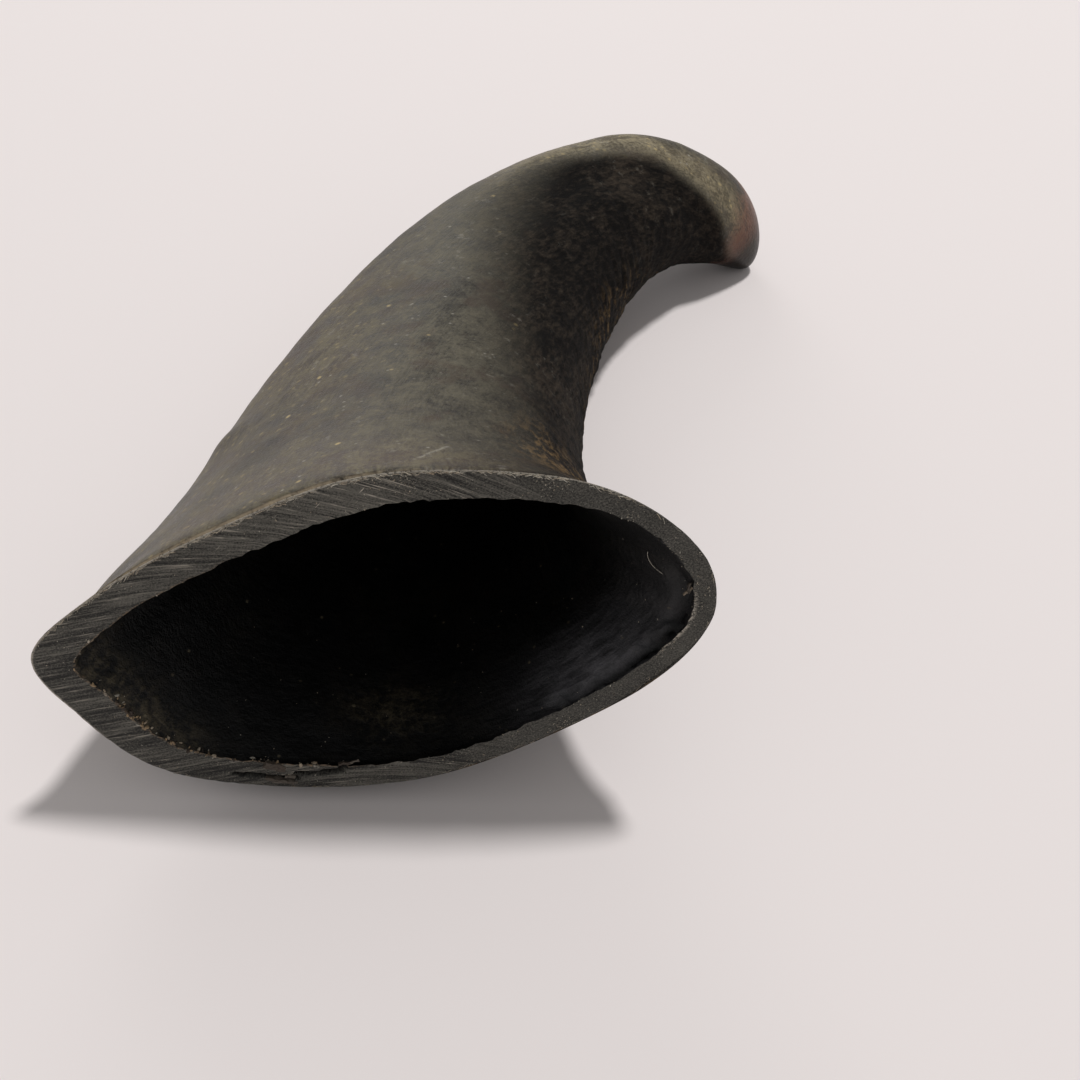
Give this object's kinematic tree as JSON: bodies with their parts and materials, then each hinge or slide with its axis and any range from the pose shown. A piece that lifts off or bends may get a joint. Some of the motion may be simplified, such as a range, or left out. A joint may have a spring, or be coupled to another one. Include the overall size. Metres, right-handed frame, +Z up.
{
  "type": "sawn buffalo horn",
  "caption": "Curved, hollow buffalo horn with a flat sawn mouth, a flattened section and a solid, rounded, drooping tip, lying on its belly.",
  "frame": {"origin": "under the middle of the horn's box, on the surface that it lies on", "axes": "+Z up; the sawn mouth faces -Y and a little up, the horn runs to +Y and bends to +X, and its tip touches the surface"},
  "size_m": [0.116, 0.1932, 0.0678],
  "materials": {
    "horn": "natural horn, a keratin: dark grey-brown with a satin sheen outside, with faint yellowish flecks and growth lines, and a duller, finely saw-marked rim"
  },
  "bodies": {
    "root": {"horn_sheath": "horn"}
  },
  "joints": []
}
